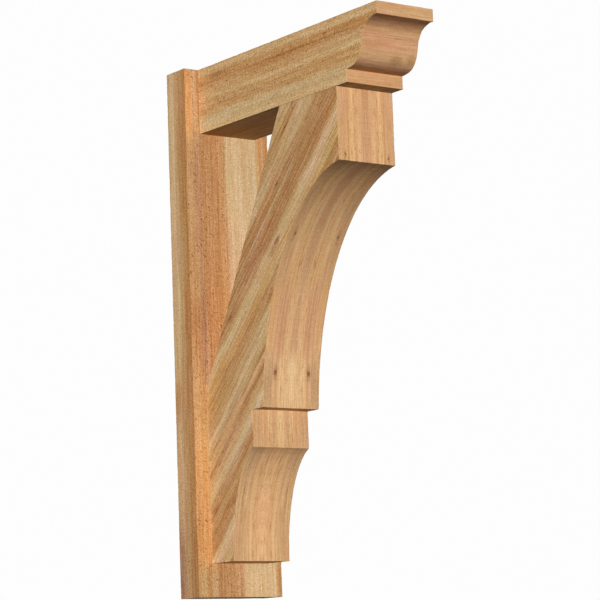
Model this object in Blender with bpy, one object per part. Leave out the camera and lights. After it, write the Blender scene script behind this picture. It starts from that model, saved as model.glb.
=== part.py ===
"""A timber outlooker: a post fixed flat to a wall, a beam that reaches out from it, and a shaped brace.

The origin is the centre of the post's back face. +X is to the right as seen from the front, +Y points
into the wall and +Z points up. All lengths are in metres.
"""

import math

import bmesh
import bpy
from mathutils import Vector
from mathutils.geometry import interpolate_bezier

POST_WIDTH = 0.1524
POST_THICKNESS = 0.0508
POST_HEIGHT = 0.8128
POST_TAIL = 0.0508

# The beam and the brace are sawn to one width, so that their sides are flush.
TIMBER_WIDTH = 0.1016

BEAM_HEIGHT = 0.1016
BEAM_PROJECTION = 0.4572
FASCIA_HEIGHT = 0.0191
END_FILLET_HEIGHT = 0.0191
OGEE_DEPTH = 0.0762

# From the beam's end fillet back to the front of the brace's upper block.
BLOCK_SETBACK = 0.0254
UPPER_BLOCK_HEIGHT = 0.108
LOWER_BLOCK_HEIGHT = 0.0554
SMALL_HOLLOW_HEIGHT = 0.1649

# From the post's front face out to the brace's foot, then on to the lower block and the large hollow's foot.
FOOT_DEPTH = 0.058
SMALL_HOLLOW_DEPTH = 0.060
MIDDLE_STEP_DEPTH = 0.029

# The lengths of the brace's two straight seats.
BEAM_SEAT_LENGTH = 0.143
POST_SEAT_LENGTH = 0.269

# Left between timbers that touch.
JOINT_GAP = 0.0003

# Each hollow is part of an ellipse. The angles are turned from the ellipse's top, down to its side.
BIG_HOLLOW_START = math.radians(5.5)
BIG_HOLLOW_END = math.radians(86.8)
SMALL_HOLLOW_START = math.radians(14.2)
SMALL_HOLLOW_END = math.radians(92.4)
BIG_HOLLOW_FACETS = 40
SMALL_HOLLOW_FACETS = 24

# The ogee's two halves mirror each other about its middle. A curve's handles are shares of its half.
OGEE_FLAT_HANDLE = 0.70
OGEE_STEEP_HANDLE = (0.10, 0.58)
OGEE_HALF_FACETS = 14

SHARP_EDGE = math.radians(20)

# The post's front top edge is where the timbers are set out from. A point of an outline is a pair: the
# distance forward of the post's face and the distance down from the top.
SETTING_OUT_POINT = Vector((0, -POST_THICKNESS, POST_HEIGHT / 2))


def remove_everything():
    for thing in list(bpy.data.objects):
        bpy.data.objects.remove(thing, do_unlink=True)


def make_wood(name, colour, roughness):
    wood = bpy.data.materials.new(name)
    wood.use_nodes = True
    shader = wood.node_tree.nodes["Principled BSDF"]
    shader.inputs["Base Color"].default_value = (*colour, 1)
    shader.inputs["Roughness"].default_value = roughness
    shader.inputs["Metallic"].default_value = 0
    return wood


def ogee_points(top, bottom):
    """The moulded curve from the fascia's lower corner to the end fillet's upper one: hollow, then round."""
    top = Vector((*top, 0))
    bottom = Vector((*bottom, 0))
    middle = (top + bottom) / 2
    half = middle - top
    flat = Vector((half.x * OGEE_FLAT_HANDLE, 0, 0))
    steep = Vector((half.x * OGEE_STEEP_HANDLE[0], half.y * OGEE_STEEP_HANDLE[1], 0))
    hollow = interpolate_bezier(top, top + flat, middle - steep, middle, OGEE_HALF_FACETS + 1)
    round_part = interpolate_bezier(middle, middle + steep, bottom - flat, bottom, OGEE_HALF_FACETS + 1)
    return [tuple(point.xy) for point in hollow + round_part[1:]]


def hollow_points(top, bottom, start, end, facets):
    """The arc of an ellipse from the top point to the bottom one, turned from start to end."""
    across = (top[0] - bottom[0]) / (math.sin(end) - math.sin(start))
    upright = (bottom[1] - top[1]) / (math.cos(start) - math.cos(end))
    centre = (top[0] + across * math.sin(start), top[1] + upright * math.cos(start))
    turns = [start + (end - start) * step / facets for step in range(facets + 1)]
    return [(centre[0] - across * math.sin(turn), centre[1] - upright * math.cos(turn)) for turn in turns]


def post_outline():
    return [(-POST_THICKNESS, 0), (0, 0), (0, POST_HEIGHT), (-POST_THICKNESS, POST_HEIGHT)]


def beam_outline():
    fillet_front = BEAM_PROJECTION - OGEE_DEPTH
    ogee_top = (BEAM_PROJECTION, FASCIA_HEIGHT)
    ogee_bottom = (fillet_front, BEAM_HEIGHT - END_FILLET_HEIGHT)
    return [
        (JOINT_GAP, 0),
        (BEAM_PROJECTION, 0),
        *ogee_points(ogee_top, ogee_bottom),
        (fillet_front, BEAM_HEIGHT),
        (JOINT_GAP, BEAM_HEIGHT),
    ]


def brace_outline():
    top = BEAM_HEIGHT + JOINT_GAP
    bottom = POST_HEIGHT - POST_TAIL
    block_front = BEAM_PROJECTION - OGEE_DEPTH - BLOCK_SETBACK
    block_bottom = BEAM_HEIGHT + UPPER_BLOCK_HEIGHT
    lower_block_front = FOOT_DEPTH + SMALL_HOLLOW_DEPTH
    big_hollow_front = lower_block_front + MIDDLE_STEP_DEPTH
    lower_block_bottom = bottom - SMALL_HOLLOW_HEIGHT
    lower_block_top = lower_block_bottom - LOWER_BLOCK_HEIGHT
    big_hollow = hollow_points(
        (block_front, block_bottom),
        (big_hollow_front, lower_block_top),
        BIG_HOLLOW_START,
        BIG_HOLLOW_END,
        BIG_HOLLOW_FACETS,
    )
    small_hollow = hollow_points(
        (lower_block_front, lower_block_bottom),
        (FOOT_DEPTH, bottom),
        SMALL_HOLLOW_START,
        SMALL_HOLLOW_END,
        SMALL_HOLLOW_FACETS,
    )
    return [
        (block_front - BEAM_SEAT_LENGTH, top),
        (block_front, top),
        *big_hollow,
        (lower_block_front, lower_block_top),
        *small_hollow,
        (JOINT_GAP, bottom),
        (JOINT_GAP, bottom - POST_SEAT_LENGTH),
    ]


def make_timber(name, outline, width, wood):
    """A timber sawn to an outline: the outline is one side face, which is extruded to the other side."""
    shape = bmesh.new()
    corners = [shape.verts.new((-width / 2, -forward, -down)) for forward, down in outline]
    side = shape.faces.new(corners)
    extruded = bmesh.ops.extrude_face_region(shape, geom=[side])["geom"]
    far_corners = [item for item in extruded if isinstance(item, bmesh.types.BMVert)]
    bmesh.ops.translate(shape, verts=far_corners, vec=(width, 0, 0))
    bmesh.ops.recalc_face_normals(shape, faces=shape.faces)
    mesh = bpy.data.meshes.new(name)
    shape.to_mesh(mesh)
    shape.free()
    mesh.materials.append(wood)
    mesh.shade_smooth()
    mesh.set_sharp_from_angle(angle=SHARP_EDGE)
    timber = bpy.data.objects.new(name, mesh)
    timber.location = SETTING_OUT_POINT
    bpy.context.collection.objects.link(timber)
    return timber


def main():
    remove_everything()
    post_wood = make_wood("post_cedar", (0.52, 0.29, 0.135), 0.75)
    beam_wood = make_wood("beam_cedar", (0.50, 0.31, 0.15), 0.75)
    brace_wood = make_wood("brace_cedar", (0.55, 0.31, 0.15), 0.7)
    make_timber("backing_post", post_outline(), POST_WIDTH, post_wood)
    make_timber("top_beam", beam_outline(), TIMBER_WIDTH, beam_wood)
    make_timber("brace", brace_outline(), TIMBER_WIDTH, brace_wood)


main()
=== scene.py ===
"""The looks of the timber outlooker: rough-sawn cedar, a pale studio and the photograph's camera."""

import math

import bmesh
import bpy
import numpy as np
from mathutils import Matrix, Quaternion, Vector
from mathutils.geometry import delaunay_2d_cdt


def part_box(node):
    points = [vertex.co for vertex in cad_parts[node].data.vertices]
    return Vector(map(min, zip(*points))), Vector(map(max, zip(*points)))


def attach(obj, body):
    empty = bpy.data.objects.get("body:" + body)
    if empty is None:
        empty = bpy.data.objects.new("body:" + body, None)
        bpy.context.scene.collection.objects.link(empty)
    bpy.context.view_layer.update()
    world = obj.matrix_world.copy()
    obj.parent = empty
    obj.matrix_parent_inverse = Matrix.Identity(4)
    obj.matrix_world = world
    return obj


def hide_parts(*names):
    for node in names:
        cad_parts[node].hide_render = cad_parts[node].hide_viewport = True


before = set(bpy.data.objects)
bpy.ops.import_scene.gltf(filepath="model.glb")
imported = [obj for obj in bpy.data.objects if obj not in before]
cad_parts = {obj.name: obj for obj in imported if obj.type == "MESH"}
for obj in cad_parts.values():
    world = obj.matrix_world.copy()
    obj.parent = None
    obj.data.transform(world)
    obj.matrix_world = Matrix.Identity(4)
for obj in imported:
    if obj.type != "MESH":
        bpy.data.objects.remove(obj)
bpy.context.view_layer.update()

POST_LOW, POST_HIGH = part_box("backing_post")
BEAM_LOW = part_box("top_beam")[0]
POST_FACE = POST_LOW.y
TOP = POST_HIGH.z

# Sizes are in metres, and the places of bands and marks on the wood in millimetres.
MM_IN_METRE = 1000

# The cosine of 45 degrees, which is half of the turn round a square arris.
DIAGONAL = math.sqrt(0.5)

# Directions of the grain. The brace is cut from a board whose grain falls towards the wall at 45 degrees.
UP = Vector((0, 0, 1))
OUT = Vector((0, -1, 0))
RIGHT = Vector((1, 0, 0))
FALLING = Vector((0, 1, -1)).normalized()

# The skin of each timber: its cells along and across the grain, and how far they keep from its rim, in cells.
CELL_ALONG = 0.0026
CELL_ACROSS = 0.0016
RIM_CLEARANCE = 0.6

# Corners of a CAD node this close together are one point.
SAME_POINT = 1e-5

# How the arrises are eased. A corner below the smooth turn is part of a curve, and an edge past the sharp
# angle is shaded as an edge.
CORNER_EASE = 0.0006
SIDE_EASE = 0.0004
SMOOTH_TURN = math.radians(20)
SHARP_ANGLE = math.radians(40)

# Where two timbers meet, an arris has only this share of its easing, and its mark is held: nothing sinks it.
JOINED_EASE = 0.1
HELD = -1

# Which triangles delaunay_2d_cdt keeps, and how close together it merges points.
INSIDE_RIM = 1
MERGED_WITHIN = 1e-8

# How far apart the saw's passes are, and how deep each kind of roughness goes.
SAWING_SIZES = {
    "Saw Pitch": 0.0075,
    "Saw Depth": 0.00025,
    "Fibre Depth": 0.00025,
    "Wander Depth": 0.0001,
    "Chip Depth": 0.0006,
}

# The noise of the fibres leaves out this share of the way along the grain, which draws them out.
FIBRE_SQUEEZE = 0.95

# The beam's end wood starts just behind its end fillet, which stands this far back from the fascia.
FILLET_SETBACK = 0.0762
BEHIND_FILLET = 0.001

# Further along the grain than any timber reaches, because the brace shows no end wood.
NO_END = 10.0

CAMERA_PLACE = (-2.1966, -3.2733, -0.5519)
CAMERA_AIM = (0, -0.2290, 0.0229)
CAMERA_ROLL = math.radians(-2.02)
CAMERA_LENS = 153.8
CAMERA_SENSOR = 36
CAMERA_REACH = 100

FLOOR_HEIGHT = -0.8
FLOOR_SIZE = 24

# The wood's colours, as linear light.
CREAM = (0.69, 0.455, 0.232)
PALE = (0.61, 0.425, 0.226)
STRAW = (0.635, 0.415, 0.207)
TAN = (0.585, 0.35, 0.158)
GOLD = (0.63, 0.37, 0.143)
BROWN = (0.54, 0.29, 0.113)
NUT = (0.51, 0.258, 0.103)
RUSSET = (0.48, 0.234, 0.09)
MAHOGANY = (0.495, 0.235, 0.08)
PLUM = (0.475, 0.252, 0.125)
CHESTNUT = (0.42, 0.195, 0.075)
UMBER = (0.30, 0.13, 0.05)
KNOT = (0.17, 0.07, 0.03)
RUST = (0.33, 0.12, 0.045)
CLAY = (0.55, 0.308, 0.142)
APRICOT = (0.69, 0.38, 0.168)
AMBER = (0.635, 0.33, 0.126)
ORANGE = (0.505, 0.28, 0.12)
COPPER = (0.60, 0.29, 0.102)
ROSE = (0.60, 0.30, 0.14)
BLUSH = (0.65, 0.35, 0.18)
SALMON = (0.635, 0.355, 0.165)
PEACH = (0.70, 0.40, 0.19)
HONEY = (0.76, 0.455, 0.208)
SHELL = (0.79, 0.485, 0.242)
BUTTER = (0.745, 0.50, 0.245)
WHEAT = (0.72, 0.425, 0.204)
SAND = (0.65, 0.38, 0.186)
FAWN = (0.60, 0.342, 0.158)
DUSK = (0.45, 0.25, 0.135)
# Painted shade: two dark, cool browns that stand in for the shade under the beam.
UNDER_SHADE_OLIVE = (0.37, 0.245, 0.112)
UNDER_SHADE_MOSS = (0.41, 0.24, 0.095)

PALE_FLOOR = (0.86, 0.86, 0.85)
ROOM_LIGHT = (1.0, 0.98, 0.95)
BACKDROP = (0.985, 0.985, 0.985)

# A colour ramp holds no more stops than this.
MOST_STOPS = 32

# The inputs of a Mix node that take the factor and the two colours, and its output for the mixed colour.
MIX_INPUTS = (0, 6, 7)
MIX_RESULT = 2

# Noise mostly lies between 0.3 and 0.7, and this many times its distance from 0.5 is between -1 and 1.
NOISE_GAIN = 5

# A mark has its full colour up to the first share of its size, and none past the second.
MARK_HEART = 0.35
MARK_RIM = 1.1

# How far apart the growth rings are across the board.
RING_SPACING = 0.0031

# Half the length of a knot and half the width of its streak, in radii of the knot.
KNOT_LENGTH = 1.6
STREAK_WIDTH = 1.7

# The woods of a timber, in the order that they are laid on. The face wood goes all over. The under shade
# wood, where a timber gives one, is painted shade on its undersides.
WOODS = ("Face Wood", "Under Shade Wood", "End Wood", "Top Wood", "Side Wood")


def add_node(tree, kind, inputs=None, **settings):
    """A new node. An input's value is a number, a colour or the output that feeds it."""
    node = tree.nodes.new(kind)
    for name, value in settings.items():
        setattr(node, name, value)
    for name, value in (inputs or {}).items():
        if isinstance(value, bpy.types.NodeSocket):
            tree.links.new(value, node.inputs[name])
        else:
            node.inputs[name].default_value = value
    return node


def maths(tree, operation, *values):
    node = add_node(tree, "ShaderNodeMath", dict(enumerate(values)), operation=operation)
    return node.outputs[0]


def add_up(tree, values):
    total = values[0]
    for value in values[1:]:
        total = maths(tree, "ADD", total, value)
    return total


def vector_maths(tree, operation, *values):
    node = add_node(tree, "ShaderNodeVectorMath", dict(enumerate(values)), operation=operation)
    return node.outputs[0]


def dot(tree, vector, direction):
    node = add_node(tree, "ShaderNodeVectorMath", {0: vector, 1: direction}, operation="DOT_PRODUCT")
    return node.outputs["Value"]


def scale_vector(tree, vector, factor):
    node = add_node(tree, "ShaderNodeVectorMath", {0: vector, "Scale": factor}, operation="SCALE")
    return node.outputs[0]


def vector_length(tree, vector):
    return add_node(tree, "ShaderNodeVectorMath", {0: vector}, operation="LENGTH").outputs["Value"]


def remap(tree, value, low, high, to_low, to_high, smooth=True):
    """Turns values from low to high into values from to_low to to_high, and keeps to those ends."""
    ranges = {"Value": value, "From Min": low, "From Max": high, "To Min": to_low, "To Max": to_high}
    kind = "SMOOTHSTEP" if smooth else "LINEAR"
    return add_node(tree, "ShaderNodeMapRange", ranges, interpolation_type=kind).outputs["Result"]


def grain_noise(tree, grain, across, along, detail=2.0, roughness=0.5):
    """Noise with so many features to the metre across the grain and along it."""
    stretched = vector_maths(tree, "MULTIPLY", grain, (across, along, along))
    settings = {"Vector": stretched, "Scale": 1.0, "Detail": detail, "Roughness": roughness}
    return add_node(tree, "ShaderNodeTexNoise", settings).outputs[0]


def swing(tree, noise, amount):
    """Noise as a share above and below nothing, mostly by no more than the amount."""
    return maths(tree, "MULTIPLY_ADD", noise, amount * NOISE_GAIN, -amount * NOISE_GAIN / 2)


def mix_colour(tree, factor, first, second):
    node = tree.nodes.new("ShaderNodeMix")
    node.data_type = "RGBA"
    for index, value in zip(MIX_INPUTS, (factor, first, second)):
        if isinstance(value, bpy.types.NodeSocket):
            tree.links.new(value, node.inputs[index])
        else:
            node.inputs[index].default_value = (*value, 1)
    return node.outputs[MIX_RESULT]


def band_colours(tree, position, bands):
    """The board's bands: colour ramps through (millimetres across the grain, colour) stops."""
    if len(bands) > MOST_STOPS:
        half = len(bands) // 2
        past = maths(tree, "GREATER_THAN", position, bands[half][0] / MM_IN_METRE)
        near = band_colours(tree, position, bands[:half + 1])
        return mix_colour(tree, past, near, band_colours(tree, position, bands[half:]))
    first, last = bands[0][0], bands[-1][0]
    share = remap(tree, position, first / MM_IN_METRE, last / MM_IN_METRE, 0.0, 1.0, smooth=False)
    ramp = add_node(tree, "ShaderNodeValToRGB", {"Fac": share})
    stops = ramp.color_ramp.elements
    while len(stops) < len(bands):
        stops.new(0.5)
    for stop, (place, colour) in zip(stops, bands):
        stop.position = (place - first) / (last - first)
        stop.color = (*colour, 1)
    return ramp.outputs["Color"]


def all_along(bands):
    """Bands that stay the same along the whole board."""
    return ((0, 0, bands),)


def stretches(tree, position, length, parts):
    """Bands that change along the board. A part is where it starts, where it ends, and its bands."""
    colour = band_colours(tree, position, parts[0][2])
    for (_, leaves, _), (comes, _, bands) in zip(parts, parts[1:]):
        change = remap(tree, length, leaves / MM_IN_METRE, comes / MM_IN_METRE, 0.0, 1.0)
        colour = mix_colour(tree, change, colour, band_colours(tree, position, bands))
    return colour


def mark_share(tree, grain, ragged, mark):
    """How much of a mark's colour a point has. A mark is long along the grain and has a ragged rim.

    A mark is its place across and along, its half width and half length, its colour and its strength.
    """
    across, along, half_width, half_length = (value / MM_IN_METRE for value in mark[:4])
    away = vector_maths(tree, "SUBTRACT", grain, (across, along, 0))
    sized = vector_maths(tree, "MULTIPLY", away, (1 / half_width, 1 / half_length, 0))
    distance = maths(tree, "ADD", vector_length(tree, sized), ragged)
    return remap(tree, distance, MARK_HEART, MARK_RIM, mark[5], 0.0)


def growth_rings(tree, grain, position):
    """Thin rings, pale on one side and dark on the other, of uneven spacing and strength."""
    unevenness = grain_noise(tree, grain, 90, 2.0, detail=1)
    count = maths(tree, "MULTIPLY_ADD", position, 1 / RING_SPACING, maths(tree, "MULTIPLY", unevenness, 4.0))
    late_wood = maths(tree, "POWER", maths(tree, "FRACT", count), 3.0)
    strength = remap(tree, grain_noise(tree, grain, 70, 5), 0.35, 0.65, 0.1, 1.0)
    return maths(tree, "MULTIPLY", late_wood, strength)


def pore_rows(tree, grain):
    """Short fine dashes along the grain, gathered in rows."""
    dashes = remap(tree, grain_noise(tree, grain, 820, 60, detail=2), 0.54, 0.68, 0.0, 1.0)
    rows = remap(tree, grain_noise(tree, grain, 170, 2.5, detail=1), 0.42, 0.64, 0.08, 1.0)
    return maths(tree, "MULTIPLY", dashes, rows)


def torn_flecks(tree, grain, position, length, calm):
    """Small dark tears that slant over the grain, and fade out over the calm stretch across the board."""
    slant = vector_maths(tree, "ADD", grain, scale_vector(tree, (0.55, 0.0, 0.0), length))
    flecks = remap(tree, grain_noise(tree, slant, 420, 190, detail=2), 0.62, 0.69, 0.0, 1.0)
    if calm:
        many = remap(tree, position, calm[0] / MM_IN_METRE, calm[1] / MM_IN_METRE, 1.0, 0.12)
        flecks = maths(tree, "MULTIPLY", flecks, many)
    return flecks


def grain_places(tree, across, along, offset, mirrored):
    """Where a point lies in the board: across the grain, along it, and both with the depth as one vector."""
    place = add_node(tree, "ShaderNodeTexCoord").outputs["Object"]
    over = maths(tree, "ADD", dot(tree, place, across), offset)
    if mirrored:
        over = maths(tree, "ABSOLUTE", over)
    length = dot(tree, place, along)
    depth = dot(tree, place, Vector(across).cross(along))
    return over, length, add_node(tree, "ShaderNodeCombineXYZ", {0: over, 1: length, 2: depth}).outputs[0]


def uneven_tint(tree, grain, hue, shade):
    """The board's own shade, a little redder in one place and bluer in another."""
    redness = swing(tree, grain_noise(tree, grain, 55, 9, detail=3), 0.03 * hue)
    blueness = swing(tree, grain_noise(tree, grain, 34, 12, detail=3), 0.07 * hue)
    return add_node(tree, "ShaderNodeCombineXYZ", {
        0: maths(tree, "ADD", redness, shade[0]),
        1: maths(tree, "SUBTRACT", shade[1], redness),
        2: maths(tree, "ADD", blueness, shade[2]),
    }).outputs[0]


def roughen(tree, shader, fibre, speckle, ring, fuzz):
    """The wood's dull surface and the small relief of its fibres, torn fuzz and growth rings."""
    rough = remap(tree, speckle, 0.3, 0.7, 0.66, 0.86, smooth=False)
    tree.links.new(rough, shader.inputs["Roughness"])
    shader.inputs["Specular IOR Level"].default_value = 0.2
    height = maths(tree, "MULTIPLY_ADD", fibre, 0.5, maths(tree, "MULTIPLY", speckle, fuzz))
    height = maths(tree, "MULTIPLY_ADD", ring, 0.6, height)
    bump = add_node(tree, "ShaderNodeBump", {"Height": height, "Strength": 0.4, "Distance": 0.0006})
    tree.links.new(bump.outputs[0], shader.inputs["Normal"])


def cedar(name, across, along, parts, offset=0.0, mirrored=False, lean=0.0, waver=0.003, lines=1.0, rings=1.0,
          fuzz=1.0, flecks=1.0, pores=1.0, hue=1.0, shade=(1.0, 1.0, 1.0), calm=None, marks=()):
    """Sawn cedar. Across and along are directions in the piece, and offset moves the bands across it.

    Mirrored bands are the same on both sides of their zero. Lean is how much the bands slant over the board,
    and waver how far they stray. Lines, rings, fuzz, flecks, pores and hue are strengths, and 1 is usual.
    Calm is the stretch across over which the flecks fade out.
    """
    wood = bpy.data.materials.new(name)
    wood.use_nodes = True
    tree = wood.node_tree
    shader = tree.nodes["Principled BSDF"]
    over, length, grain = grain_places(tree, across, along, offset, mirrored)
    fibre = grain_noise(tree, grain, 760, 22, detail=3, roughness=0.6)
    speckle = grain_noise(tree, grain, 600, 460, detail=3, roughness=0.8)
    ring = grain_noise(tree, grain, 330, 6, detail=3, roughness=0.7)

    drift = swing(tree, grain_noise(tree, grain, 22, 5, detail=3), waver)
    position = add_up(tree, [over, drift, maths(tree, "MULTIPLY", length, lean)])
    colour = stretches(tree, position, length, parts)
    ragged = swing(tree, speckle, 0.18)
    for mark in marks:
        colour = mix_colour(tree, mark_share(tree, grain, ragged, mark), colour, mark[4])
    colour = vector_maths(tree, "MULTIPLY", colour, uneven_tint(tree, grain, hue, shade))

    broad = add_up(tree, [
        swing(tree, grain_noise(tree, grain, 120, 2.6), 0.06 * lines),
        swing(tree, ring, 0.16 * lines),
        swing(tree, grain_noise(tree, grain, 40, 12), 0.05),
        maths(tree, "MULTIPLY_ADD", growth_rings(tree, grain, position), 0.2 * rings, -0.03 * rings),
    ])
    fine = add_up(tree, [
        swing(tree, speckle, 0.32 * fuzz),
        swing(tree, grain_noise(tree, grain, 130, 620, roughness=0.6), 0.07 * fuzz),
        swing(tree, fibre, 0.15 * lines),
        maths(tree, "MULTIPLY", pore_rows(tree, grain), -0.26 * pores),
        maths(tree, "MULTIPLY", torn_flecks(tree, grain, position, length, calm), -0.4 * flecks),
    ])
    # The fine texture is half shade and half a deeper colour, as dark wood is redder than pale wood.
    deepness = maths(tree, "MULTIPLY_ADD", fine, -0.45, maths(tree, "ADD", broad, 1.0))
    colour = add_node(tree, "ShaderNodeGamma", {0: colour, 1: deepness}).outputs[0]
    colour = scale_vector(tree, colour, maths(tree, "MULTIPLY_ADD", fine, 0.5, 1.0))
    tree.links.new(colour, shader.inputs["Base Color"])
    roughen(tree, shader, fibre, speckle, ring, fuzz)
    return wood


def knot(across, along, radius, streak=8, heart=KNOT):
    """A small dark knot and the brown streak that it leaves along the grain, as two marks."""
    return (
        (across, along, radius * STREAK_WIDTH, radius * streak, UMBER, 0.45),
        (across, along, radius, radius * KNOT_LENGTH, heart, 0.85),
    )


def along_brace(forward, down):
    """A place on the brace's side, forward of the post's face and down from the top, as across and along."""
    slant = math.sqrt(2)
    return (forward + down) / slant, (down - forward + MM_IN_METRE * (POST_FACE - TOP)) / slant


def post_front_bands(strip, edge, sapwood=PALE):
    """The post's front: a strip that changes along the post, then a brown heart and cream sapwood."""
    return (
        (-76, strip), (-60, strip), (-55, edge), (-50, edge), (-45, RUSSET), (-30, NUT), (-21, RUSSET),
        (-11, BROWN), (-3, CLAY), (3, sapwood), (57, sapwood), (60, BROWN), (68, NUT), (76, NUT),
    )


def post_woods():
    """The post's woods. Each band is its place across the board and its colour."""
    side = (
        (0, STRAW), (8, CREAM), (17, CREAM), (22, TAN), (28, TAN), (33, BROWN), (38, MAHOGANY),
        (51, MAHOGANY),
    )
    end = (
        (-76, TAN), (-60, BROWN), (-45, TAN), (-30, RUSSET), (-18, BROWN), (-4, TAN), (4, CREAM), (50, CREAM),
        (60, BROWN), (76, TAN),
    )
    side_marks = (
        (12, -105, 18, 40, BROWN, 0.55), (44, -110, 14, 60, ROSE, 0.3), (12, -226, 14, 44, CREAM, 0.8),
        (4, -370, 24, 95, DUSK, 0.95), (44, -380, 20, 90, CHESTNUT, 0.6),
    )
    front = (
        (-420, -380, post_front_bands(BROWN, CLAY, CREAM)),
        (-345, -300, post_front_bands(COPPER, AMBER)),
        (-270, -190, post_front_bands(AMBER, CLAY)),
        (-112, -100, post_front_bands(BROWN, CLAY)),
        (-55, -40, post_front_bands(NUT, PLUM)),
        (5, 25, post_front_bands(RUSSET, PLUM)),
        (70, 260, post_front_bands(ORANGE, PLUM)),
        (315, 400, post_front_bands(AMBER, CLAY)),
    )
    # The first front mark is painted shadow, a thin dark line on the post's front beside the brace's left
    # face; the second is a russet patch in the wood.
    front_marks = ((-51, 15, 3.5, 75, UMBER, 0.5), (-24, 210, 12, 90, RUSSET, 0.5))
    side_wood = cedar(
        "post_side_cedar", OUT, UP, all_along(side),
        lines=1.3, fuzz=1.55, hue=1.2, marks=side_marks,
    )
    face_wood = cedar(
        "post_face_cedar", RIGHT, UP, front,
        lean=0.019, waver=0.0016, fuzz=1.3, flecks=1.7, hue=0.7, calm=(-2, 5), marks=front_marks,
    )
    end_wood = cedar("post_end_cedar", RIGHT, OUT, all_along(end))
    return {"Side Wood": side_wood, "Face Wood": face_wood, "End Wood": end_wood, "Top Wood": end_wood}


def beam_woods():
    """The beam's woods. Its side's and its end's bands are measured down from the top."""
    side = (
        (0, TAN), (4, STRAW), (11, STRAW), (15, BROWN), (21, BROWN), (25, RUSSET), (29, BROWN), (33, CLAY),
        (38, TAN), (43, TAN), (47, STRAW), (52, STRAW), (56, BROWN), (61, TAN), (66, BROWN), (69, TAN),
        (74, TAN), (78, PALE), (90, PALE), (97, CREAM), (102, PALE),
    )
    face = ((-51, BROWN), (-20, RUSSET), (0, BROWN), (30, TAN), (51, RUSSET))
    end = (
        (0, SALMON), (10, SALMON), (19, BLUSH), (24, ROSE), (34, PEACH), (42, BLUSH), (50, ROSE), (58, BLUSH),
        (70, PEACH), (77, BLUSH), (82, SALMON), (102, SALMON),
    )
    # The underside is painted shade: darker, cooler browns than the beam's wood, a little warmer near the
    # post than towards the brace.
    painted_shade_near_post = ((-51, UNDER_SHADE_MOSS), (0, UNDER_SHADE_MOSS), (51, UNDER_SHADE_OLIVE))
    painted_shade_near_brace = ((-51, UNDER_SHADE_OLIVE), (51, UNDER_SHADE_OLIVE))
    side_marks = (
        (18, 99, 5, 30, UMBER, 0.55), (24, 75, 9, 16, ROSE, 0.5), (26, 350, 2, 130, CHESTNUT, 0.6),
        (60, 215, 0.9, 200, CHESTNUT, 0.6), (63.5, 200, 0.8, 170, UMBER, 0.4),
        (69, 260, 0.8, 150, CHESTNUT, 0.5), (25, 280, 1.2, 170, UMBER, 0.4),
        (13, 300, 0.8, 120, CHESTNUT, 0.4), (50, 65, 26, 26, PEACH, 0.35),
    )
    end_marks = ((70, 16, 8, 14, CHESTNUT, 0.55), (66, 42, 8, 10, CHESTNUT, 0.5))
    under = ((0, 60, painted_shade_near_post), (170, 400, painted_shade_near_brace))
    side_wood = cedar(
        "beam_side_cedar", -UP, OUT, all_along(side), offset=TOP,
        waver=0.001, lines=0.9, fuzz=1.85, flecks=1.5, hue=0.25, shade=(1.06, 1.02, 0.93), marks=side_marks,
    )
    face_wood = cedar("beam_face_cedar", RIGHT, OUT, all_along(face))
    end_wood = cedar(
        "beam_end_cedar", -UP, RIGHT, all_along(end), offset=TOP,
        fuzz=0.55, rings=0.6, flecks=0.3, marks=end_marks,
    )
    under_shade_wood = cedar("beam_under_painted_shade", RIGHT, OUT, under, flecks=0.5)
    return {"Side Wood": side_wood, "Face Wood": face_wood, "End Wood": end_wood, "Under Shade Wood": under_shade_wood}


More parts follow.
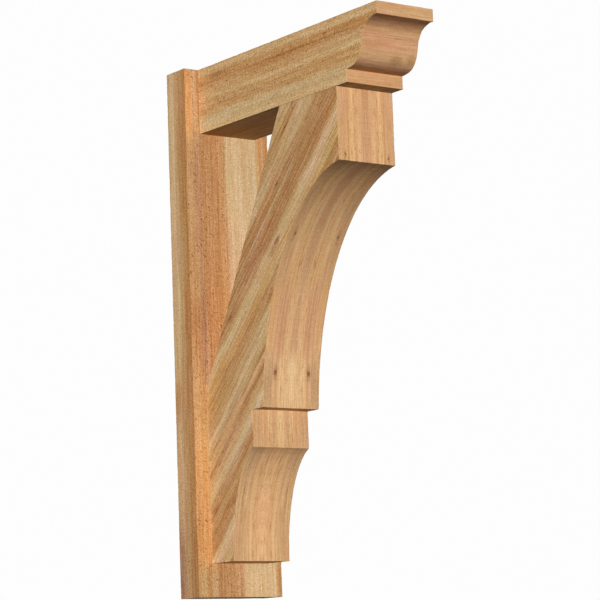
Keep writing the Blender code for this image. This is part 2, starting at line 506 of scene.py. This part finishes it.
def brace_woods():
    """The brace's woods. Its side's bands slant over it with the grain, and its front's are mirrored."""
    side = (
        (224, TAN), (236, TAN), (243, STRAW), (247, TAN), (250, BROWN), (256, CLAY), (261, TAN), (268, STRAW),
        (280, STRAW), (286, BROWN), (292, NUT), (297, RUSSET), (306, CLAY), (315, RUSSET), (328, RUSSET),
        (333, NUT), (338, TAN), (344, CREAM), (352, CREAM), (357, STRAW), (364, GOLD), (370, GOLD),
        (376, BROWN), (394, BROWN), (400, TAN), (406, TAN), (410, CREAM), (416, STRAW), (422, TAN),
        (429, BROWN), (435, CREAM), (441, GOLD), (447, RUSSET), (453, CLAY), (459, GOLD), (465, CREAM),
        (477, CREAM), (483, BROWN), (489, NUT), (495, BROWN), (503, TAN), (509, BROWN), (516, NUT),
        (525, MAHOGANY), (531, CLAY), (537, CREAM), (546, CREAM), (555, STRAW), (560, GOLD), (568, GOLD),
        (574, BROWN), (580, BROWN),
    )
    block = (
        (0, ROSE), (6, ROSE), (11, APRICOT), (21, PEACH), (25, HONEY), (29, HONEY), (33, SALMON),
        (51, SALMON),
    )
    hollow_head = (
        (0, ROSE), (6, FAWN), (10, WHEAT), (17, WHEAT), (21, PEACH), (27, HONEY), (33, SALMON),
        (38, FAWN), (51, FAWN),
    )
    hollow_middle = (
        (0, BLUSH), (7, PEACH), (14, SHELL), (20, BLUSH), (32, BLUSH), (38, APRICOT), (51, APRICOT),
    )
    hollow_foot = (
        (0, SHELL), (5, SHELL), (9, WHEAT), (16, WHEAT), (19, SHELL), (23, SHELL), (28, SAND), (35, SAND),
        (39, CLAY), (51, FAWN),
    )
    small_hollow = (
        (0, SHELL), (8, SHELL), (13, WHEAT), (17, WHEAT), (21, SHELL), (26, WHEAT), (31, SAND), (35, SAND),
        (40, FAWN), (51, SAND),
    )
    small_block = (
        (0, BUTTER), (5, BUTTER), (9, SAND), (16, SAND), (21, WHEAT), (27, SAND), (34, SAND), (39, FAWN),
        (51, SALMON),
    )
    across = Vector((0, -1, -1)).normalized()
    offset = (POST_FACE + TOP) / math.sqrt(2)
    front = (
        (-400, -192, small_hollow), (-190, -137, small_block), (-134, -75, hollow_foot),
        (-40, 20, hollow_middle), (70, 150, hollow_head), (195, 310, block),
    )
    side_marks = (
        *knot(*along_brace(199, 216), 3.2, 5), *knot(*along_brace(68, 398), 3.8, 5, heart=RUST),
        (*along_brace(196, 300), 4.5, 11, RUST, 0.75), (*along_brace(190, 308), 8, 26, CHESTNUT, 0.5),
        *knot(*along_brace(225, 136), 1.6, 16), *knot(*along_brace(246, 112), 2.0, 12),
        *knot(*along_brace(173, 379), 2.2, heart=RUST), *knot(*along_brace(38, 596), 1.8, heart=RUST),
        *knot(*along_brace(15, 681), 3.4, 5, heart=RUST), *knot(*along_brace(64, 675), 3.0, 5, heart=RUST),
        (*along_brace(120, 300), 16, 60, RUSSET, 0.5), (*along_brace(200, 200), 14, 40, ROSE, 0.35),
    )
    cuts = [(5, height, 5.5, 1.5, CLAY, 0.5) for height in (213, 239, 259, 283)]
    front_marks = (
        *cuts, *knot(38.5, 206, 1.6, 5), *knot(39, 112, 2.0, 8), *knot(30.3, -83, 3.2, 5),
        (43, -100, 8, 24, CHESTNUT, 0.5),
        (17, -222, 2.0, 14, RUSSET, 0.4), (32, -285, 2.5, 18, RUSSET, 0.45), (17, -345, 2.5, 12, RUSSET, 0.4),
        (9, -345, 1.5, 12, RUSSET, 0.35), (20, -115, 1.5, 22, RUSSET, 0.35),
    )
    side_wood = cedar(
        "brace_side_cedar", across, FALLING, all_along(side), offset=offset,
        lines=1.6, rings=1.2, fuzz=1.25, flecks=0.7, pores=1.8, hue=1.2, marks=side_marks,
    )
    face_wood = cedar(
        "brace_face_cedar", RIGHT, UP, front, mirrored=True,
        waver=0.0015, lines=1.15, rings=0.5, fuzz=0.75, flecks=0.2, pores=1.8, hue=0.6, marks=front_marks,
    )
    return {"Side Wood": side_wood, "Face Wood": face_wood}


def side_outline(node):
    """The corners of a node's side face in order, as (y, z) points, counter-clockwise seen from the right."""
    work = bmesh.new()
    work.from_mesh(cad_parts[node].data)
    bmesh.ops.remove_doubles(work, verts=work.verts, dist=SAME_POINT)
    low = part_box(node)[0].x
    side = {face for face in work.faces if max(vert.co.x for vert in face.verts) < low + SAME_POINT}
    rim = [edge for edge in work.edges if len(side.intersection(edge.link_faces)) == 1]
    joined = {}
    for edge in rim:
        for vert in edge.verts:
            joined.setdefault(vert, []).append(edge.other_vert(vert))
    walk = [rim[0].verts[0], rim[0].verts[1]]
    while len(walk) < len(rim):
        ahead = [vert for vert in joined[walk[-1]] if vert != walk[-2]]
        walk.append(ahead[0])
    outline = np.array([(vert.co.y, vert.co.z) for vert in walk])
    work.free()
    following = np.roll(outline, -1, axis=0)
    area = (outline[:, 0] * following[:, 1] - outline[:, 1] * following[:, 0]).sum() / 2
    return outline if area > 0 else outline[::-1]


def cross(first, second):
    return first[..., 0] * second[..., 1] - first[..., 1] * second[..., 0]


def unit(vectors):
    return vectors / np.linalg.norm(vectors, axis=-1, keepdims=True)


def even_points(run, step):
    """Points at even steps along a run of corners: a smooth curve through them, or a straight line."""
    lengths = np.linalg.norm(np.diff(run, axis=0), axis=1)
    reached = np.concatenate(([0], np.cumsum(lengths)))
    wanted = np.linspace(0, reached[-1], max(2, round(reached[-1] / step) + 1))
    if len(run) == 2:
        return run[0] + (run[1] - run[0]) * (wanted / reached[-1])[:, None]
    slopes = np.gradient(run, reached, axis=0, edge_order=2)
    before = np.clip(np.searchsorted(reached, wanted, side="right") - 1, 0, len(run) - 2)
    span = lengths[before][:, None]
    t = (wanted[:, None] - reached[before][:, None]) / span
    return (
        (2 * t**3 - 3 * t**2 + 1) * run[before]
        + (t**3 - 2 * t**2 + t) * span * slopes[before]
        + (3 * t**2 - 2 * t**3) * run[before + 1]
        + (t**3 - t**2) * span * slopes[before + 1]
    )


def eased_ring(outline, step):
    """A closed ring of even points round an outline, and which of them round off an outward corner."""
    ahead = unit(np.roll(outline, -1, axis=0) - outline)
    behind = np.roll(ahead, 1, axis=0)
    turn = np.arctan2(cross(behind, ahead), (behind * ahead).sum(axis=1))
    sharp = [index for index in range(len(outline)) if abs(turn[index]) > SMOOTH_TURN]
    ring, eased = [], []
    for start, stop in zip(sharp, sharp[1:] + [sharp[0] + len(outline)]):
        run = even_points(np.array([outline[k % len(outline)] for k in range(start, stop + 1)]), step)
        corner = run[0]
        if turn[start] > 0:
            reach = CORNER_EASE * math.tan(turn[start] / 2)
            arc = [corner - behind[start] * reach, corner + ahead[start] * reach]
            middle = (arc[0] + arc[1]) / 4 + corner / 2
            ring += [arc[0], middle, arc[1]]
            eased += [1, 1, 1]
        else:
            ring.append(corner)
            eased.append(0)
        ring += list(run[1:-1])
        eased += [0] * (len(run) - 2)
    return np.array(ring), np.array(eased, float)


def inset(ring, distance):
    """A ring moved inwards, each point by a distance of its own."""
    edge = unit(np.roll(ring, -1, axis=0) - ring)
    normal = np.stack((edge[:, 1], -edge[:, 0]), axis=1)
    before = np.roll(normal, 1, axis=0)
    mitre = (normal + before) / (1 + (normal * before).sum(axis=1))[:, None]
    return ring - mitre * distance[:, None]


def lattice_inside(ring, along):
    """Staggered points inside a ring, in rows along the grain, that keep clear of the ring itself."""
    across = np.array((-along[1], along[0]))
    reach_along, reach_across = ring @ along, ring @ across
    rows = np.arange(reach_across.min(), reach_across.max(), CELL_ACROSS)
    places = np.arange(reach_along.min(), reach_along.max(), CELL_ALONG)
    across_at, along_at = np.meshgrid(rows, places, indexing="ij")
    along_at[1::2] += CELL_ALONG / 2
    points = along_at.reshape(-1, 1) * along + across_at.reshape(-1, 1) * across
    inside = np.zeros(len(points), bool)
    near = np.full(len(points), np.inf)
    for start, stop in zip(ring, np.roll(ring, -1, axis=0)):
        over = (start[1] > points[:, 1]) != (stop[1] > points[:, 1])
        rise = stop[1] - start[1]
        if rise:
            crossing = start[0] + (points[:, 1] - start[1]) * (stop[0] - start[0]) / rise
            inside ^= over & (points[:, 0] < crossing)
        edge = stop - start
        share = np.clip((points - start) @ edge / (edge @ edge), 0, 1)
        near = np.minimum(near, ((points - start - share[:, None] * edge) ** 2).sum(axis=1))
    return points[inside & (near > (RIM_CLEARANCE * CELL_ACROSS) ** 2)]


def side_triangles(ring, along):
    """The side's extra points, and its triangles, which turn counter-clockwise seen from the right."""
    extra = lattice_inside(ring, along)
    points = np.concatenate((ring, extra))
    rim = [(index, (index + 1) % len(ring)) for index in range(len(ring))]
    flat = [Vector(point) for point in points]
    _, _, faces, origins, _, _ = delaunay_2d_cdt(flat, rim, [], INSIDE_RIM, MERGED_WITHIN)
    return extra, [tuple(origins[corner][0] for corner in face) for face in faces]


def rings_across(low, high, outline, corner_marks, butted):
    """The outline at even places from side to side, smaller at the two sides, and the marks of its arrises.

    A butted timber meets the post's face or the beam's underside, and stays nearly sharp there.
    """
    meets = (np.abs(outline - (POST_FACE, BEAM_LOW.z)) < CORNER_EASE).any(axis=1) & butted
    free = np.where(meets, JOINED_EASE, 1)
    half_turn = SIDE_EASE * (1 - DIAGONAL)
    side = inset(outline, SIDE_EASE * free)
    turning = inset(outline, half_turn * free)
    columns = round((high - low - 2 * SIDE_EASE) / CELL_ACROSS)
    middle = np.linspace(low + SIDE_EASE, high - SIDE_EASE, columns + 1)
    rings = [(low, side, 1), (low + half_turn, turning, 1)]
    rings += [(x, outline, int(x in (middle[0], middle[-1]))) for x in middle]
    rings += [(high - half_turn, turning, 1), (high, side, 1)]
    places = [np.column_stack((np.full(len(outline), x), ring)) for x, ring, _ in rings]
    marks = [np.where(meets, HELD, np.maximum(corner_marks, mark)) for _, _, mark in rings]
    return places, marks


def timber_skin(node, grain, butted):
    """A closed dense mesh of a node's own form, with its eased arrises marked by an attribute."""
    low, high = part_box(node)
    outline, corner_marks = eased_ring(side_outline(node), CELL_ALONG)
    places, marks = rings_across(low.x, high.x, outline, corner_marks, butted)
    count = len(outline)
    index = np.arange(len(places) * count).reshape(len(places), count)
    following = np.roll(index, -1, axis=1)
    quads = np.stack((index[:-1], following[:-1], following[1:], index[1:]), axis=-1).reshape(-1, 4)
    faces = quads.tolist()

    side = np.ascontiguousarray(places[0][:, 1:])
    extra, triangles = side_triangles(side, unit(np.array((grain.y, grain.z))))
    for x, first_of_ring, outward in ((low.x, 0, -1), (high.x, index[-1, 0], 1)):
        start = sum(len(block) for block in places)
        places.append(np.column_stack((np.full(len(extra), x), extra)))
        marks.append(np.zeros(len(extra)))
        for face in triangles:
            corners = [first_of_ring + k if k < count else start + k - count for k in face]
            faces.append(tuple(corners[::outward]))
    mesh = bpy.data.meshes.new(node + "_skin")
    mesh.from_pydata(np.concatenate(places).tolist(), [], [[int(k) for k in face] for face in faces])
    arris = mesh.attributes.new("arris", "FLOAT", "POINT")
    arris.data.foreach_set("value", np.concatenate(marks).astype(np.float32))
    mesh.validate()
    return mesh


def sunk_depth(tree, given, position, length):
    """How deep a point sinks: a slight unevenness, the fibres, the saw marks and the chips of the arrises."""
    def noise(vector, scale, detail=2.0):
        settings = {"Vector": vector, "W": given["Seed"], "Scale": scale, "Detail": detail}
        return add_node(tree, "ShaderNodeTexNoise", settings, noise_dimensions="4D").outputs[0]

    wander = maths(tree, "MULTIPLY", noise(position, 14.0), given["Wander Depth"])
    squeeze = scale_vector(tree, given["Grain Direction"], maths(tree, "MULTIPLY", length, -FIBRE_SQUEEZE))
    stretched = vector_maths(tree, "ADD", position, squeeze)
    fibre = maths(tree, "MULTIPLY", noise(stretched, 260.0, 3.0), given["Fibre Depth"])
    passes = maths(tree, "DIVIDE", length, given["Saw Pitch"])
    uneven = maths(tree, "MULTIPLY_ADD", noise(position, 30.0), 2.5, passes)
    wave = maths(tree, "SINE", maths(tree, "MULTIPLY", uneven, math.tau))
    saw = maths(tree, "MULTIPLY", maths(tree, "MULTIPLY_ADD", wave, 0.5, 0.5), given["Saw Depth"])
    saw = maths(tree, "MULTIPLY", saw, remap(tree, noise(position, 22.0), 0.35, 0.65, 0.2, 1.0))
    marked = add_node(tree, "GeometryNodeInputNamedAttribute", {"Name": "arris"}, data_type="FLOAT")
    arris = marked.outputs[0]
    chip = maths(tree, "MULTIPLY", arris, remap(tree, noise(position, 95.0, 3.0), 0.5, 0.75, 0.0, 1.0))
    chip = maths(tree, "MULTIPLY", chip, given["Chip Depth"])
    free = maths(tree, "GREATER_THAN", arris, HELD / 2)
    return maths(tree, "MULTIPLY", add_up(tree, [wander, fibre, saw, chip]), free)


def lay_on_woods(tree, given, skin, normal, length):
    """Each wood goes where the skin faces its way, and the end wood far enough along the grain."""
    facing = add_node(tree, "ShaderNodeSeparateXYZ", {0: normal}).outputs
    is_side = maths(tree, "GREATER_THAN", maths(tree, "ABSOLUTE", facing["X"]), DIAGONAL)
    # Undersides take the under shade wood, which on the beam is painted shade.
    is_under = maths(tree, "LESS_THAN", facing["Z"], -DIAGONAL)
    is_top = maths(tree, "GREATER_THAN", facing["Z"], DIAGONAL)
    is_end = maths(tree, "GREATER_THAN", maths(tree, "ABSOLUTE", length), given["End Start"])
    wooded = skin
    for name, chosen in zip(WOODS, (None, is_under, is_end, is_top, is_side)):
        node = add_node(tree, "GeometryNodeSetMaterial", {"Geometry": wooded, "Material": given[name]})
        if chosen:
            tree.links.new(chosen, node.inputs["Selection"])
        wooded = node.outputs[0]
    return wooded


def rough_sawn_tree():
    """Geometry nodes that sink saw marks, fibres and chips into a timber's skin, and lay on its woods."""
    tree = bpy.data.node_groups.new("rough_sawn_timber", "GeometryNodeTree")
    panel = tree.interface
    panel.new_socket("Geometry", in_out="INPUT", socket_type="NodeSocketGeometry")
    panel.new_socket("Grain Direction", in_out="INPUT", socket_type="NodeSocketVector")
    for name in ("End Start", *SAWING_SIZES, "Seed"):
        panel.new_socket(name, in_out="INPUT", socket_type="NodeSocketFloat")
    for name in WOODS:
        panel.new_socket(name, in_out="INPUT", socket_type="NodeSocketMaterial")
    panel.new_socket("Geometry", in_out="OUTPUT", socket_type="NodeSocketGeometry")
    given = add_node(tree, "NodeGroupInput").outputs
    position = add_node(tree, "GeometryNodeInputPosition").outputs[0]
    normal = add_node(tree, "GeometryNodeInputNormal").outputs[0]
    length = dot(tree, position, given["Grain Direction"])
    rise = maths(tree, "MULTIPLY", sunk_depth(tree, given, position, length), -1.0)
    offset = scale_vector(tree, normal, rise)
    moved = add_node(tree, "GeometryNodeSetPosition", {"Geometry": given["Geometry"], "Offset": offset})
    real = add_node(tree, "GeometryNodeRealizeInstances", {"Geometry": moved.outputs[0]}).outputs[0]
    add_node(tree, "NodeGroupOutput", {0: lay_on_woods(tree, given, real, normal, length)})
    return tree


def sawn_mesh(skin, settings):
    """A timber's skin after it has gone through the sawing tree, as a plain mesh."""
    raw = bpy.data.objects.new(skin.name, skin)
    bpy.context.scene.collection.objects.link(raw)
    modifier = raw.modifiers.new("rough_sawn", "NODES")
    modifier.node_group = SAWING
    sockets = {item.name: item.identifier for item in SAWING.interface.items_tree if item.in_out == "INPUT"}
    for title, value in settings.items():
        modifier[sockets[title]] = value
    evaluated = raw.evaluated_get(bpy.context.evaluated_depsgraph_get())
    mesh = bpy.data.meshes.new_from_object(evaluated)
    bpy.data.objects.remove(raw)
    return mesh


def make_timber(name, node, grain, woods, end_start, seed, butted=True):
    """Dresses a node in sawn cedar of the node's own form. Any wood that isn't given is the face wood."""
    settings = {"Grain Direction": tuple(grain), "End Start": end_start, "Seed": seed, **SAWING_SIZES}
    for title in WOODS:
        settings[title] = woods.get(title, woods["Face Wood"])
    mesh = sawn_mesh(timber_skin(node, grain, butted), settings)
    mesh.name = name
    mesh.shade_smooth()
    mesh.set_sharp_from_angle(angle=SHARP_ANGLE)
    piece = bpy.data.objects.new(name, mesh)
    bpy.context.scene.collection.objects.link(piece)
    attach(piece, "root")
    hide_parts(node)


def plain_material(name, colour, roughness):
    material = bpy.data.materials.new(name)
    material.use_nodes = True
    shader = material.node_tree.nodes["Principled BSDF"]
    shader.inputs["Base Color"].default_value = (*colour, 1)
    shader.inputs["Roughness"].default_value = roughness
    return material


def make_floor():
    mesh = bpy.data.meshes.new("studio_floor")
    half = FLOOR_SIZE / 2
    corners = [(-half, -half), (half, -half), (half, half), (-half, half)]
    mesh.from_pydata([(x, y, FLOOR_HEIGHT) for x, y in corners], [], [(0, 1, 2, 3)])
    mesh.materials.append(plain_material("pale_floor", PALE_FLOOR, roughness=0.8))
    floor = bpy.data.objects.new("studio_floor", mesh)
    bpy.context.scene.collection.objects.link(floor)
    # The floor shows but throws no light back, because the photograph's undersides are dark.
    floor.visible_diffuse = False


def add_light(name, towards, strength, softness, casts_shadows=True):
    """A light as wide as the given angle that reaches the whole piece evenly, from the given direction."""
    light = bpy.data.lights.new(name, "SUN")
    light.energy = strength
    light.angle = math.radians(softness)
    light.use_shadow = casts_shadows
    lamp = bpy.data.objects.new(name, light)
    lamp.rotation_euler = (-Vector(towards)).to_track_quat("-Z", "Y").to_euler()
    bpy.context.scene.collection.objects.link(lamp)


def make_studio():
    """A key light to the left of the front, fills for the far side and the back, and a pale room.

    The photograph shows no cast shadows, so the key light casts none.
    """
    add_light("key_light", (-0.617, -0.778, 0.122), strength=3.72, softness=25, casts_shadows=False)
    add_light("far_side_fill", (0.84, 0.3, 0.45), strength=2.1, softness=60)
    add_light("back_fill", (0.3, 1, 0.25), strength=1.4, softness=20)
    world = bpy.data.worlds.new("studio_room")
    world.use_nodes = True
    bpy.context.scene.world = world
    tree = world.node_tree
    room_light = tree.nodes["Background"]
    room_light.inputs["Color"].default_value = (*ROOM_LIGHT, 1)
    room_light.inputs["Strength"].default_value = 0.06
    backdrop = add_node(tree, "ShaderNodeBackground", {"Color": (*BACKDROP, 1), "Strength": 1.0})
    seen = add_node(tree, "ShaderNodeLightPath").outputs["Is Camera Ray"]
    both = add_node(tree, "ShaderNodeMixShader", {0: seen, 1: room_light.outputs[0], 2: backdrop.outputs[0]})
    tree.links.new(both.outputs[0], tree.nodes["World Output"].inputs["Surface"])
    bpy.context.scene.view_settings.view_transform = "Standard"


def make_camera():
    camera = bpy.data.cameras.new("photo_camera")
    camera.lens = CAMERA_LENS
    camera.sensor_width = CAMERA_SENSOR
    camera.clip_end = CAMERA_REACH
    holder = bpy.data.objects.new("photo_camera", camera)
    holder.location = CAMERA_PLACE
    level = (Vector(CAMERA_AIM) - Vector(CAMERA_PLACE)).to_track_quat("-Z", "Y")
    holder.rotation_euler = (level @ Quaternion((0, 0, 1), CAMERA_ROLL)).to_euler()
    bpy.context.scene.collection.objects.link(holder)
    bpy.context.scene.camera = holder


SAWING = rough_sawn_tree()
make_camera()
make_studio()
make_floor()
post_end = TOP - CORNER_EASE
make_timber("cedar_post", "backing_post", UP, post_woods(), post_end, seed=1.0, butted=False)
beam_end = -BEAM_LOW.y - (FILLET_SETBACK + BEHIND_FILLET)
make_timber("cedar_beam", "top_beam", OUT, beam_woods(), beam_end, seed=2.0)
make_timber("cedar_brace", "brace", FALLING, brace_woods(), NO_END, seed=3.0)
